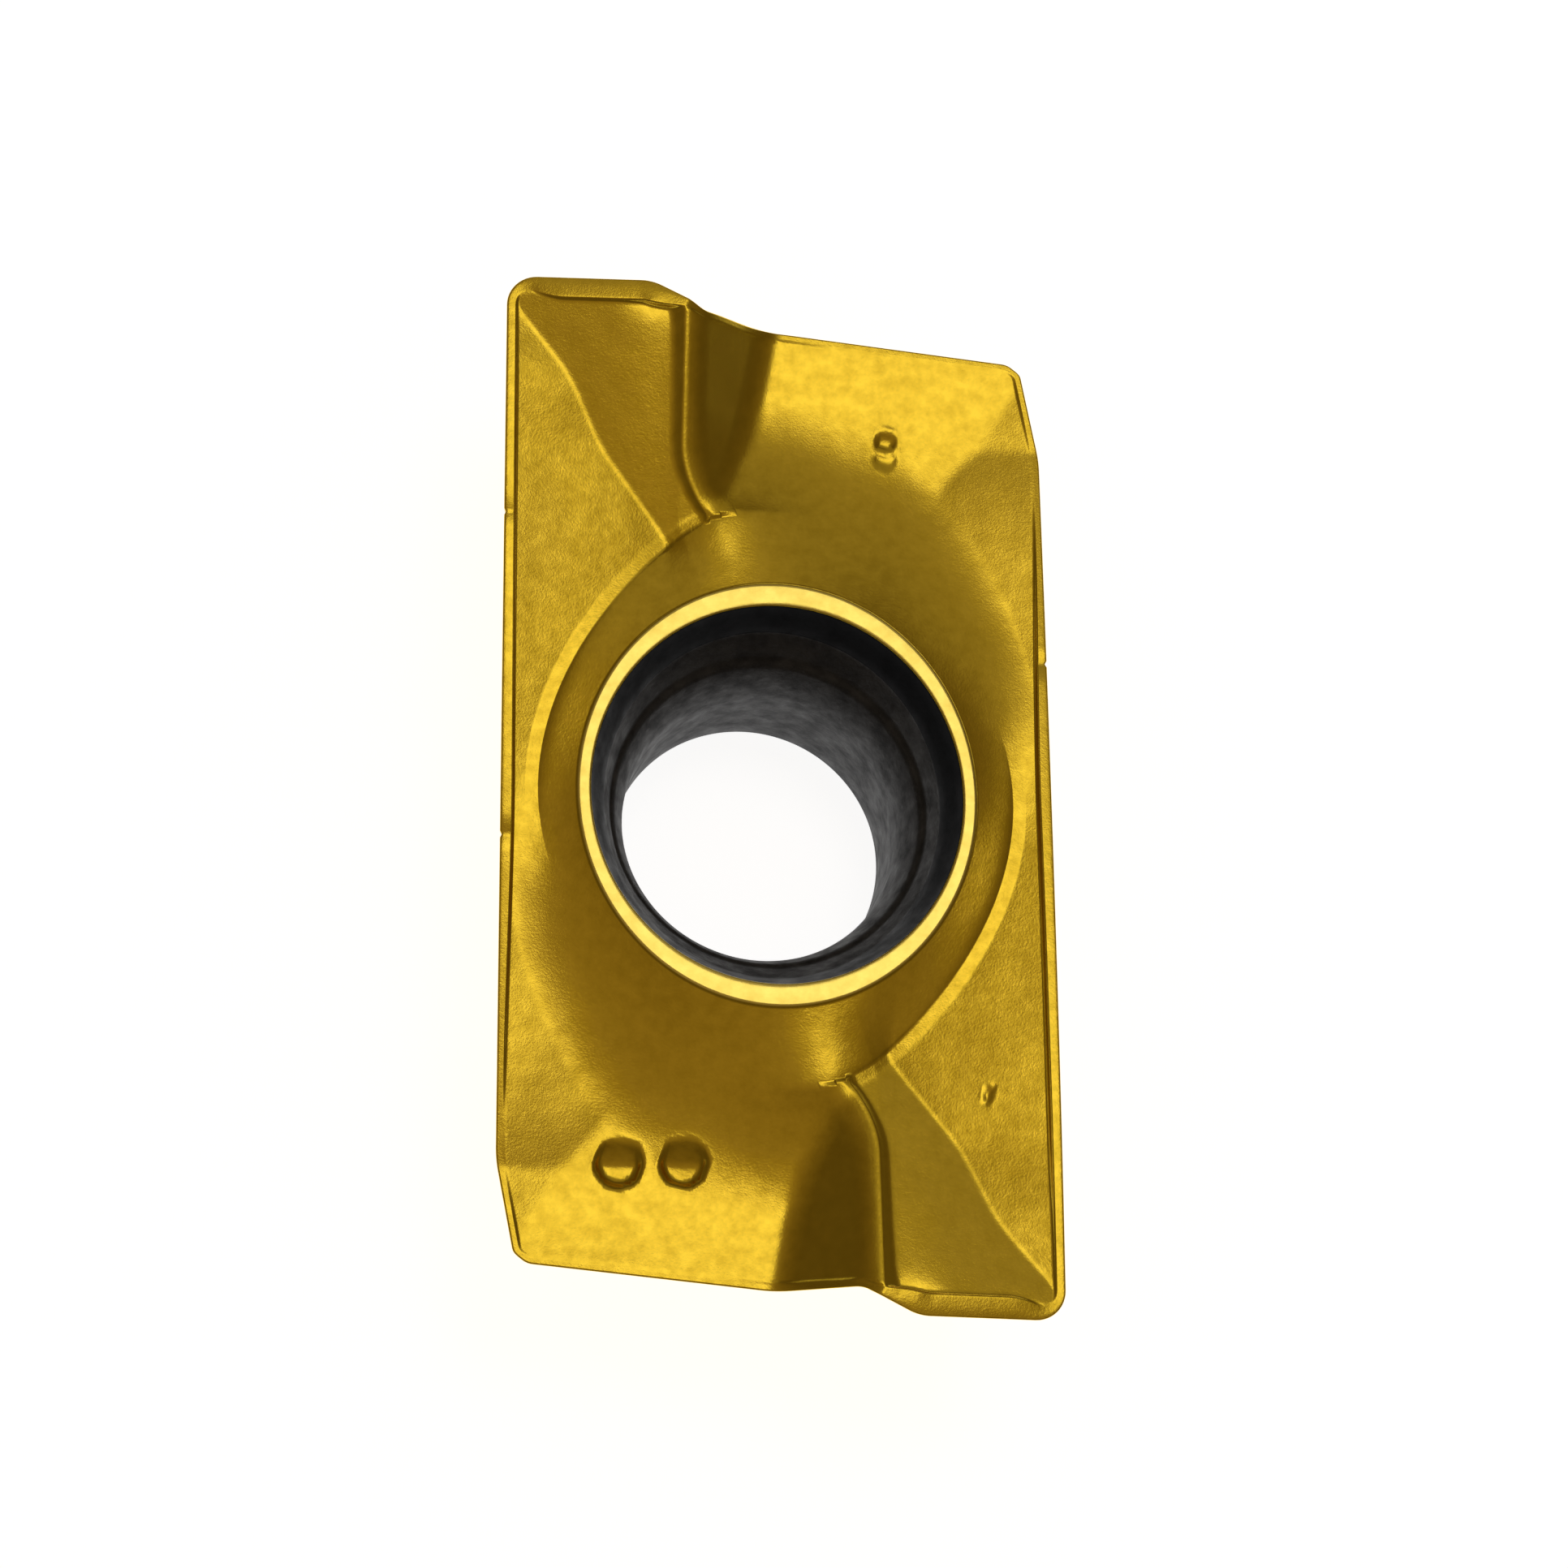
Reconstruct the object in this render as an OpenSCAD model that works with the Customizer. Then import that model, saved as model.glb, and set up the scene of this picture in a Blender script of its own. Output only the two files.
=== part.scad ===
// Indexable carbide milling insert, pressed and sintered in one piece. All lengths are in mm.
// The screw hole runs up the z axis, the length runs along y and the seating face lies on z = 0.

/* [Body] */
// Width across the two long cutting edges
body_width = 9.525; // [9:0.005:10.2]
// Length over the two minor cutting edges
body_length = 18.06; // [17.7:0.02:18.6]
// Thickness from the seating face to the active corner
corner_height = 4.76; // [4.6:0.02:5]
// Relief angle of the flanks along the two long sides
flank_relief = 11; // [8:0.5:13]
// Relief angle of the ends and of the minor edges
end_relief = 18; // [15:0.5:20]
// Nose radius of the two active corners
nose_radius = 0.52; // [0.3:0.02:0.8]
// Radius left at the corners of the seating face
base_corner_radius = 0.3; // [0.15:0.05:0.5]

/* [Ends] */
// Length of the straight minor edge, from the side of the insert to its bend
minor_edge_length = 2.5; // [2.3:0.05:2.8]
// Length over which the outline steps back beside the minor edge
step_length = 0.93; // [0.8:0.02:1.1]
// Amount by which the end stands behind the minor edge
step_back = 0.5; // [0.35:0.01:0.6]
// Fall of the end across the width, from the step to the blunt corner
end_skew = 0.28; // [0.1:0.02:0.4]
// Height of the end and of the blunt corner
end_height = 4.02; // [3.9:0.02:4.15]
// Rise of the minor edge towards its bend
minor_edge_rise = 0.2; // [0.1:0.02:0.26]
// Width taken off the side at the blunt corner
blunt_width = 0.36; // [0.2:0.02:0.5]
// Length over which the side runs in to the blunt corner
blunt_length = 1.85; // [1.5:0.05:2.2]
// Radius of the blunt corner
blunt_radius = 0.45; // [0.3:0.05:0.6]

/* [Cutting edges] */
// Width of the land along the long edge at the active corner
land_width = 0.16; // [0.12:0.01:0.2]
// Width of the same land at the far end of the long edge
land_width_far = 0.26; // [0.2:0.01:0.3]
// Width of the land along the minor edge
minor_land_width = 0.37; // [0.3:0.01:0.42]
// Rise of the minor edge's land towards its inner border
minor_land_rise = 0.02; // [0.01:0.01:0.04]
// Drop from the long land into the rake face, a fifth of it at the active corner
land_step = 0.1; // [0.04:0.01:0.14]
// Plan width of that drop
land_step_width = 0.06; // [0.04:0.01:0.08]
// Fall of the rake face away from the long edge, in mm per mm
main_rake = 0.13; // [0.1:0.01:0.18]
// Fall of the rake face away from the minor edge, in mm per mm
minor_rake = 0.18; // [0.16:0.01:0.19]
// Depth of the nook where the same face meets the ridge
nook_depth = 0.08; // [0.04:0.01:0.12]
// Height over which this face and the rake face blend in their valley
valley_fillet = 0.2; // [0.12:0.02:0.3]
// Fall of the end face away from the end, in mm per mm
end_rake = 0.07; // [0.04:0.01:0.1]

/* [Pocket rim] */
// Distance of the ridge from the middle of the width
ridge_offset = 1.63; // [1.5:0.01:1.75]
// Distance of the ridge corner from the middle of the width
ridge_corner_offset = 1.17; // [1.05:0.01:1.3]
// Distance of the ridge corner from the middle of the length
ridge_corner_reach = 4.98; // [4.9:0.02:5.1]
// Radius of the rim beside the hole
rim_radius = 4.17; // [4.08:0.01:4.24]
// Height of the rim above the rake faces that run up to it
rim_lip = 0.05; // [0.03:0.01:0.07]
// Slope of the rim on its hole side, in mm per mm
rim_slope = 0.24; // [0.18:0.01:0.32]
// Slope of the rim on its pocket side, in mm per mm
rim_curl = 0.04; // [0.02:0.01:0.08]
// Height of the ridge above the face beside it
ridge_lip = 0.02; // [0.01:0.01:0.04]
// Slope of the ridge on its pocket side, in mm per mm
ridge_slope = 0.3; // [0.2:0.05:0.5]
// Plan width of the ridge's outer slope for one mm of height
wedge_spread = 1.9; // [1.7:0.05:2.1]
// Height over which two faces blend where they meet
fillet = 0.1; // [0.06:0.01:0.14]

/* [Hub] */
// Height of the collar round the hole
collar_height = 4.44; // [4.44:0.01:4.5]
// Height at which the collar rises out of the face
collar_foot_height = 4.4; // [4.36:0.01:4.41]
// Half width of the collar across the insert
collar_half_width = 3.34; // [3.32:0.01:3.42]
// Half length of the collar along the insert
collar_half_length = 3.71; // [3.6:0.01:3.78]
// Half width of the mouth of the hole
mouth_half_width = 3.19; // [3.14:0.01:3.24]
// Half length of the mouth of the hole
mouth_half_length = 3.34; // [3.28:0.01:3.44]
// Half length of the hub, from the middle to where it begins to rise
hub_half_length = 7.4; // [7:0.1:7.8]
// Half width of the hub at the same height
hub_half_width = 4.7; // [4.5:0.05:4.8]

/* [Screw hole] */
// Radius of the hole for the screw
bore_radius = 2.4; // [2.2:0.05:2.5]
// Height of the straight part of the hole
bore_straight = 2.0; // [1.8:0.05:2.3]
// Radius of the screw seat at its top
seat_radius = 2.7; // [2.6:0.02:2.74]
// Height of the top of the screw seat
seat_top = 3.2; // [3.1:0.02:3.3]
// Half width of the hole where its dark upper wall ends
throat_half_width = 2.9; // [2.84:0.01:2.96]
// Half length of the hole at the same height
throat_half_length = 3.08; // [3:0.01:3.12]
// Height of that edge
throat_height = 3.78; // [3.7:0.02:3.86]
// Chamfer at the lower end of the hole
bore_chamfer = 0.1; // [0.05:0.01:0.2]

/* [Marks] */
// Radius of the two round marks beside each other
mark_radius = 0.42; // [0.35:0.01:0.45]
// Depth of the round marks
mark_depth = 0.14; // [0.08:0.01:0.2]
// Distance between the two round marks
mark_spacing = 1.09; // [1:0.01:1.3]
// Radius of the single mark at the other end
single_mark_radius = 0.22; // [0.15:0.01:0.3]

/* [Hidden] */
side_relief = tan(flank_relief);
face_relief = tan(end_relief);
half_width = body_width / 2;
half_length = body_length / 2;
drop_start = half_length;
drop_length = half_length + half_length - 2.5;
edge_drop = corner_height - end_height;
bend_height = corner_height + minor_edge_rise;
body_colour = [0.78, 0.62, 0.16];

// Corners of one half of the outline at the height of the active corner, each as
// x, y, radius, pieces of its curve and pieces of the straight that follows it.
outline_half = [
    [-half_width, half_length, nose_radius, 5, 7],
    [-half_width + minor_edge_length, half_length - 0.03, 0.8, 3, 3],
    [-half_width + minor_edge_length + step_length, half_length - step_back, 0.4, 3, 4],
    [0, half_length - step_back + 0.11, 3, 2, 8],
    [half_width - blunt_width, half_length - step_back - end_skew, blunt_radius, 4, 4],
    [half_width, half_length - step_back - end_skew - blunt_length, 2.2, 3, 19],
];
corners = [for (k = [0:1]) for (c = outline_half)
    [for (i = [0:4]) i < 2 && k == 1 ? -c[i] : c[i]]];
corner_count = len(corners);

function unit(v) = v / norm(v);
function point(k) = let (c = corners[(k + corner_count) % corner_count]) [c[0], c[1]];
function mix(a, b, t) = a + (b - a) * t;
function clamp(t) = min(1, max(0, t));
function smooth(t) = let (s = clamp(t)) s * s * (3 - 2 * s);

// The higher and the lower of two faces, filleted over the height r where they meet
function over(a, b, r) = max(a, b) + r * pow(max(0, 1 - abs(a - b) / r), 2) / 4;
function under(a, b, r) = -over(-a, -b, r);

// Curve that rounds corner b between its neighbours a and c
function rounding(a, b, c, r, n) = let (
    u = unit(a - b), w = unit(c - b),
    half = acos(u * w) / 2,
    reach = r / tan(half),
    centre = b + unit(u + w) * r / sin(half),
    from = b + u * reach - centre,
    to = b + w * reach - centre,
    start = atan2(from[1], from[0]),
    turn = atan2(from[0] * to[1] - from[1] * to[0], from * to)
) [for (i = [0:n]) centre + r * [cos(start + turn * i / n), sin(start + turn * i / n)]];

// The whole outline, every corner rounded and every straight divided
curves = [for (k = [0:corner_count - 1])
    rounding(point(k - 1), point(k), point(k + 1), corners[k][2], corners[k][3])];
outline = [for (k = [0:corner_count - 1]) let (
    here = curves[k], next = curves[(k + 1) % corner_count],
    last = here[len(here) - 1], n = corners[k][4]
) each concat(here, [for (i = [1:n - 1]) mix(last, next[0], i / n)])];
count = len(outline);

// The same line at the seating face, every side moved in by its own relief
function side_normal(k) = let (d = unit(point(k + 1) - point(k))) [d[1], -d[0]];
function side_inset(k) = corner_height * ((k + corner_count) % 6 < 4 ? face_relief : side_relief);
function moved_corner(k) = let (
    m = side_normal(k - 1), n = side_normal(k),
    a = side_inset(k - 1), b = side_inset(k),
    c = m * n
) point(k) + ((a - b * c) * m + (b - a * c) * n) / (1 - c * c);
base_points = [for (k = [0:corner_count - 1]) moved_corner(k)];
base_curves = [for (k = [0:corner_count - 1]) rounding(
    base_points[(k + corner_count - 1) % corner_count], base_points[k],
    base_points[(k + 1) % corner_count],
    k % 6 == 0 || k % 6 == 4 ? base_corner_radius : corners[k][2], corners[k][3])];
base = [for (k = [0:corner_count - 1]) let (
    here = base_curves[k], next = base_curves[(k + 1) % corner_count],
    last = here[len(here) - 1], n = corners[k][4]
) each concat(here, [for (i = [1:n - 1]) mix(last, next[0], i / n)])];

// Inward direction of the outline at one of its points
function inward(i) = let (
    d = unit(outline[(i + 1) % count] - outline[(i + count - 1) % count])
) [d[1], -d[0]];
function relief_at(i) = mix(side_relief, face_relief, smooth((abs(inward(i)[1]) - 0.2) / 0.6));

// Height of the long edge, which falls from the active corner to the blunt corner
function long_edge(y) = corner_height
    - edge_drop * pow(clamp((drop_start - y) / drop_length), 1.6);

// Height of the minor edge, the step beside it and the end
function end_edge(x) = x < -ridge_offset
    ? corner_height + minor_edge_rise * clamp((x + half_width) / (half_width - ridge_offset))
    : end_height + wedge(x + ridge_offset, bend_height - end_height);

// Height of the outline at any of its points, turned for the second half
function edge_height(p) = p[1] < 0 && p[0] > -half_width + 1 || p[1] < 0 && p[0] > 0
    ? edge_height(-p)
    : p[0] < -half_width + 0.2 && p[1] < half_length - nose_radius
        ? long_edge(p[1])
        : p[1] > half_length - 2 && p[0] < half_width - blunt_width
            ? end_edge(p[0])
            : p[0] > 0 ? long_edge(-p[1]) : long_edge(p[1]);

// Outer slope of the ridge at distance d from its crest, for a ridge of height h
function wedge(d, h) = h <= 0 ? 0
    : let (t = clamp(d / (wedge_spread * h))) h * pow(1 - t, 2) * (1 + 1.6 * t);

// Face beside the long edge, falling inwards along its whole length
function side_face(x, y) = let (
    h = long_edge(y),
    a = x + half_width - side_relief * (corner_height - h),
    step = land_step * mix(0.2, 1, smooth((half_length - 1.6 - y) / 1.8))
) h - step * (1 - smooth((-2 - y) / 4)) - main_rake * max(0, a - land_width);

// Face behind the minor edge, and the nook in it beside the ridge
function minor_face(x, y) = end_edge(min(x, -ridge_offset - 0.001)) + minor_land_rise
    - minor_rake * max(0, half_length - y - minor_land_width);
function nook(x, y) = nook_depth
    * exp(-pow((x + ridge_offset + 0.2) / 0.4, 2) - max(0, half_length - y - minor_land_width) / 0.6);

// Ridge between the pocket and the end: its distance from the middle and its height
function ridge_x(y) = -(ridge_offset - (ridge_offset - ridge_corner_offset)
    * pow(1 - clamp((y - ridge_corner_reach) / 1.25), 2));
function ridge_height(y) = minor_face(-ridge_offset, y) + ridge_lip;

// Rim beside the hole: its radius by angle and its crest, a little above the faces it borders
rim_start = atan2(ridge_corner_reach, -ridge_corner_offset);
rim_flare = norm([ridge_corner_reach, ridge_corner_offset]) - rim_radius;
function rim_at(a) = rim_radius + rim_flare * pow(clamp((180 - a) / (180 - rim_start)), 2.9);
function facets(x, y, r) = over(side_face(x, y), minor_face(x, y), r);
function rim_top(a) = let (r = rim_at(a))
    facets(r * cos(a), r * sin(a), 0.05)
    + mix(ridge_lip, rim_lip, smooth((a - rim_start) / 20)) - 0.3 * smooth((a - 162) / 38);
function rim_bead(a, d) = let (crown = mix(0.03, 0.08, smooth((a - rim_start) / 25)))
    under(rim_top(a) + rim_slope * d, rim_top(a) - rim_curl * d, crown) + crown / 4;

// Face at the end, falling inwards, and the hub that rises round the hole
function end_face(x, y) = end_height
    - end_rake * (half_length - step_back - 0.05 - abs(y) - 0.089 * x * sign(y));
function hub_rise(x, y) = let (
    outer = 1 / norm([x / hub_half_width, y / hub_half_length]),
    inner = 1 / norm([x / collar_half_width, y / collar_half_length])
) pow(clamp((outer - 1) / (outer - inner)), 1.7);

// Face outside the pockets: a dish of two ends and two sides, with the hub in its middle
function middle_face(x, y) = mix(
    over(end_face(x, y), over(side_face(x, y), side_face(-x, -y), 0.05), 0.05),
    collar_foot_height, hub_rise(x, y));

// Height of the top face anywhere in the half that holds the first pocket
function half_face(x, y) = let (
    turn = atan2(y, x),
    a = turn < -90 ? turn + 360 : turn,
    in_x = ridge_x(y) - x,
    in_r = norm([x, y]) - rim_at(a),
    ridge = ridge_height(y),
    bead = rim_bead(a, in_r),
    middle = middle_face(x, y),
    rakes = facets(x, y, mix(0.02, valley_fillet, clamp(in_r / 2 + 0.3))) - nook(x, y),
    raised = over(rakes, max(ridge - ridge_slope * in_x, bead), fillet / 2),
    pocket = mix(raised, over(middle, bead, fillet), smooth((a - 172) / 26)),
    outer_ridge = end_height + wedge(-in_x, ridge - end_height),
    outer = in_r >= 0 ? outer_ridge : in_x >= 0 ? bead : min(bead, outer_ridge),
    crest = mix(0.1, 0.32, smooth((a - rim_start) / 30))
) mix(over(middle, outer, fillet), pocket, smooth(min(in_x / 0.1, in_r / crest) + 0.5));
function face(x, y) = y - 0.364 * x >= 0 ? half_face(x, y) : half_face(-x, -y);

// Width of the land at a point of the outline
function land_at(p) = p[1] < 0 ? land_at(-p)
    : p[0] > half_width - 1 ? (p[1] > half_length - 3 ? 0.11
            : mix(land_width_far, 0.11, smooth(p[1] / half_length * 1.6)))
        : p[0] < -half_width + 0.1
            ? mix(land_width_far, land_width, clamp(p[1] / half_length))
            : p[0] < -half_width + 2
                ? mix(land_width, minor_land_width, smooth((p[0] + half_width) / 1))
                : mix(minor_land_width, 0.11, smooth((p[0] + 2.2) / 0.8));

// Rings of points from the edge inwards, each point with its height
edge_ring = [for (i = [0:count - 1]) let (h = edge_height(outline[i]))
    concat(outline[i] + inward(i) * relief_at(i) * (corner_height - h), h)];
land_ring = [for (i = [0:count - 1]) let (w = land_at(outline[i]))
    concat([edge_ring[i][0], edge_ring[i][1]] + inward(i) * w,
        edge_ring[i][2] + minor_land_rise * smooth((w - 0.2) / (minor_land_width - 0.2)))];
foot_plan = [for (i = [0:count - 1])
    [land_ring[i][0], land_ring[i][1]] + inward(i) * land_step_width];

// Points on the collar that belong to the points of the outline, so that rows follow the ridge
function collar_angle(p) = p[1] < 0 ? collar_angle(-p) - 180
    : lookup(atan2(p[1], p[0]), [[0, 0], [62, 60], [101.3, 105.4], [135, 136], [180, 180]]);
function on_oval(a, u, v) = [cos(a), sin(a)] / norm([cos(a) / u, sin(a) / v]);
angles = [for (p = foot_plan) collar_angle(p)];
collar_plan = [for (a = angles) on_oval(a, collar_half_width, collar_half_length)];

// Columns of points that lie on the ridge and on the foot of its outer slope, and the bend
// that brings them there
function foot_x(y) = ridge_x(y) + 0.94 * wedge_spread * (ridge_height(y) - end_height);
function nearest(x) = let (
    gaps = [for (p = foot_plan) p[1] > 6 ? abs(p[0] - x) : 99]
) search(min(gaps), gaps)[0];
function column_x(i, y) = let (a = collar_plan[i], b = foot_plan[i])
    mix(a[0], b[0], (y - a[1]) / (b[1] - a[1]));
ridge_column = nearest(ridge_x(8.4));
foot_column = nearest(foot_x(8.4));
function bent(p) = let (
    q = p[1] < 0 ? -p : p,
    a = column_x(ridge_column, q[1]),
    b = column_x(foot_column, q[1]),
    to_ridge = ridge_x(q[1]) - a,
    to_foot = foot_x(q[1]) - b,
    move = q[0] < a ? to_ridge * exp(-pow((q[0] - a) / 1.1, 2))
        : q[0] > b ? to_foot * exp(-pow((q[0] - b) / 1.4, 2))
            : mix(to_ridge, to_foot, (q[0] - a) / (b - a)),
    shift = move * smooth((q[1] - ridge_corner_reach + 1.1) / 1.1)
) p + [p[1] < 0 ? -shift : shift, 0];

// Fraction of a column at which it crosses the rim
function crossing(i, f, n) = let (
    p = bent(mix(collar_plan[i], foot_plan[i], f)),
    q = p[1] < 0 || p[1] == 0 && p[0] > 0 ? -p : p,
    a = atan2(q[1], q[0]),
    r = rim_at(a < rim_start ? mix(180, rim_start, smooth(a / rim_start)) : a),
    g = clamp(f + (r - norm(p)) / (norm(foot_plan[i]) - norm(collar_plan[i])))
) n == 0 ? g : crossing(i, g, n - 1);
crossings = [for (i = [0:count - 1]) crossing(i, 0.3, 12)];
inner_steps = [0.06, 0.25, 0.5, 0.75, 0.92];
outer_steps = [0, 0.05, 0.13, 0.22, 0.32, 0.43, 0.54, 0.65, 0.76, 0.86, 0.94, 1];
rows = concat(inner_steps, [for (s = outer_steps) 1 + s]);
function row_plan(i, s) = let (f = crossings[i], g = s < 1 ? f * s : f + (1 - f) * (s - 1))
    bent(mix(collar_plan[i], foot_plan[i], g));
face_rings = [for (k = [len(rows) - 1:-1:0]) [for (i = [0:count - 1])
    let (p = row_plan(i, rows[k])) concat(p, face(p[0], p[1]))]];
function ring(u, v, h) = [for (a = angles) concat(on_oval(a, u, v), h)];
rings = concat(
    [[for (p = base) concat(p, 0)], edge_ring, land_ring],
    face_rings,
    [ring(collar_half_width, collar_half_length, collar_foot_height),
     ring(collar_half_width - 0.03, collar_half_length - 0.03, collar_height - 0.03),
     ring(collar_half_width - 0.06, collar_half_length - 0.06, collar_height),
     ring(mouth_half_width + 0.02, mouth_half_length + 0.02, collar_height),
     ring(mouth_half_width, mouth_half_length, collar_height - 0.02),
     ring(throat_half_width, throat_half_length, throat_height),
     ring(seat_radius + 0.04, seat_radius + 0.04, seat_top)]
);
ring_count = len(rings);

// Blank with its flanks, both pockets, ridges, lands, ends, hub and collar
module blank() {
    points = [for (r = rings) each r];
    strips = [for (k = [0:ring_count - 2]) for (i = [0:count - 1]) let (
        j = (i + 1) % count,
        a = k * count + i, b = k * count + j,
        c = (k + 1) * count + j, d = (k + 1) * count + i
    ) each [[a, b, c], [a, c, d]]];
    low = len(points);
    lids = [for (i = [0:count - 1]) let (j = (i + 1) % count) each
        [[low, j, i], [low + 1, (ring_count - 1) * count + i, (ring_count - 1) * count + j]]];
    polyhedron(points = concat(points, [[0, 0, 0], [0, 0, seat_top]]),
        faces = concat(strips, lids));
}

// Straight hole, its lower chamfer and the rounded seat for the screw head
module screw_hole() {
    rise = seat_top - bore_straight;
    widen = seat_radius - bore_radius;
    curve = (rise * rise + widen * widen) / (2 * widen);
    translate([0, 0, -1])
        cylinder(r = bore_radius, h = 1 + bore_straight + 0.01, $fn = 96);
    translate([0, 0, -0.01])
        cylinder(r1 = bore_radius + bore_chamfer + 0.01, r2 = bore_radius,
            h = bore_chamfer + 0.01, $fn = 96);
    rotate_extrude($fn = 96)
        polygon(concat(
            [[0, bore_straight]],
            [for (i = [0:6]) let (a = asin(rise / curve) * i / 6)
                [bore_radius + curve * (1 - cos(a)), bore_straight + curve * sin(a)]],
            [[seat_radius, seat_top + 0.02], [0, seat_top + 0.02]]));
}

// Round marks that tell the two ends apart
module marks() {
    ball = (mark_radius * mark_radius + mark_depth * mark_depth) / (2 * mark_depth);
    for (side = [-1, 1]) {
        x = -2.07 + side * mark_spacing / 2;
        translate([x, -6.38, face(x, -6.38) + ball - mark_depth])
            sphere(r = ball, $fn = 40);
    }
    translate([1.98, 6.46, face(1.98, 6.46) + 0.05])
        sphere(r = single_mark_radius, $fn = 24);
}

module insert() {
    color(body_colour)
        difference() {
            blank();
            screw_hole();
            marks();
        }
}

insert();
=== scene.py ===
import math

import bmesh
import bpy
import numpy as np
from mathutils import Matrix, Vector, noise


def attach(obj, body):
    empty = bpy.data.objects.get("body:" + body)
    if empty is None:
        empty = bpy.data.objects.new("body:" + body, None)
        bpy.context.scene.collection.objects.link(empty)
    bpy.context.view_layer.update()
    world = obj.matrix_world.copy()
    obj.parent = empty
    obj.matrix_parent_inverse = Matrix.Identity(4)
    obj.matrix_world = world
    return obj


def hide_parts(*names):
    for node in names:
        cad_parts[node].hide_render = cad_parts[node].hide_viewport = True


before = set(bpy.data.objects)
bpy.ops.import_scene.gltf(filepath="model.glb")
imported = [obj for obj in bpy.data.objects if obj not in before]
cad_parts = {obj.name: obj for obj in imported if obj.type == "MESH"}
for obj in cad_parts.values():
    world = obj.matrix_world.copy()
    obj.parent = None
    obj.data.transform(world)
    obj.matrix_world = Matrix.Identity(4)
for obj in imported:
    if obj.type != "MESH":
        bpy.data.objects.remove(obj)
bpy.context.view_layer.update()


# Insert outline: one pressed and sintered tungsten carbide body, the same after half a turn about its
# screw hole. Two active corners with a small nose radius, two blunt ones, and a step beside each minor edge.
# Lengths in this file are in mm until the mesh is finished.
half_width, half_length = 9.525 / 2, 18.06 / 2
corner_height, end_height, ridge_rise = 4.76, 4.02, 0.2
bend_height = corner_height + ridge_rise
side_relief, end_relief = math.tan(math.radians(11)), math.tan(math.radians(18))
nose_radius, base_nose_radius = 0.52, 0.3
blunt_inset, blunt_drop = 0.36, 0.78

# Each corner: its place, its radius, the pieces of its arc and of the straight that follows it.
corner_rows = [
    (-half_width, half_length, nose_radius, 12, 36),
    (-half_width + 2.5, half_length - 0.03, 0.8, 8, 26),
    (-half_width + 3.43, half_length - 0.5, 0.4, 8, 30),
    (0.0, half_length - 0.39, 3.0, 6, 58),
    (half_width - blunt_inset, half_length - blunt_drop, 0.45, 12, 16),
    (half_width, half_length - 2.63, 2.2, 8, 80),
]
corner_list = corner_rows + [(-x, -y, r, a, b) for x, y, r, a, b in corner_rows]


def rounded_outline(points):
    """Points round the contour: every corner an arc, every straight divided."""
    arcs = []
    total = len(points)
    for k in range(total):
        before, here, after = (np.array(points[(k + s) % total][:2]) for s in (-1, 0, 1))
        radius, pieces = points[k][2], points[k][3]
        u = (before - here) / np.linalg.norm(before - here)
        w = (after - here) / np.linalg.norm(after - here)
        half = math.acos(float(u @ w)) / 2
        bisector = (u + w) / np.linalg.norm(u + w)
        centre = here + bisector * radius / math.sin(half)
        start = here + u * radius / math.tan(half) - centre
        end = here + w * radius / math.tan(half) - centre
        first = math.atan2(start[1], start[0])
        turn = math.atan2(start[0] * end[1] - start[1] * end[0], float(start @ end))
        steps = [first + turn * i / pieces for i in range(pieces + 1)]
        arcs.append([centre + radius * np.array([math.cos(a), math.sin(a)]) for a in steps])
    line = []
    for k in range(total):
        line += arcs[k]
        last, following, pieces = arcs[k][-1], arcs[(k + 1) % total][0], points[k][4]
        line += [last + (following - last) * i / pieces for i in range(1, pieces)]
    return np.array(line)


outline = rounded_outline(corner_list)
column_count = len(outline)

# Three small nicks in the long edges: the contour's points are drawn together there.
nick_places = ((-half_width, 4.75), (-half_width, -0.9), (half_width, 2.55))
nick_half_width, nick_depth, nick_drop = 0.06, 0.03, 0.015
nicks = []
for x, y in nick_places:
    k = int(np.argmin(np.hypot(outline[:, 0] - x, outline[:, 1] - y)))
    for s in (-1, 0, 1):
        outline[k + s, 1] = y + s * nick_half_width * np.sign(outline[k + 1, 1] - outline[k - 1, 1])
    nicks.append(k)

tangent = np.roll(outline, -1, axis=0) - np.roll(outline, 1, axis=0)
tangent /= np.linalg.norm(tangent, axis=1)[:, None]
inward = np.stack([tangent[:, 1], -tangent[:, 0]], 1)

# The seating face has the same corners, with each side moved inwards by what its relief takes off.
base_corners = []
for k, (x, y, r, a, b) in enumerate(corner_list):
    before, here, after = (np.array(corner_list[(k + s) % 12][:2]) for s in (-1, 0, 1))
    arriving = (here - before) / np.linalg.norm(here - before)
    leaving = (after - here) / np.linalg.norm(after - here)
    m, n = np.array([arriving[1], -arriving[0]]), np.array([leaving[1], -leaving[0]])
    m_in, n_in = (corner_height * (end_relief if side % 6 < 4 else side_relief) for side in (k + 11, k))
    c = float(m @ n)
    moved = here + ((m_in - n_in * c) * m + (n_in - m_in * c) * n) / (1 - c * c)
    base_corners.append((moved[0], moved[1], base_nose_radius if k % 6 in (0, 4) else r, a, b))
base_outline = rounded_outline(base_corners)


# Rake face: the moulded top of the body, given as one height for each place on it.
# It is a dish: falling long edges, raked pocket facets, the ridge, the curved rim, ends and blunt sides
# that fall inwards and meet in a valley, and the hub that rises to the collar.
minor_land = 0.37
ridge_start_x = -1.63
ridge_end_x, ridge_end_y = -1.17, 4.98
collar_foot, hub_reach, hub_top = (3.45, 3.76), (4.7, 7.3), 4.41


def clamp(t):
    return np.clip(t, 0.0, 1.0)


def smooth(t):
    t = clamp(t)
    return t * t * (3 - 2 * t)


def mix(a, b, t):
    return a + (b - a) * t


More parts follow.
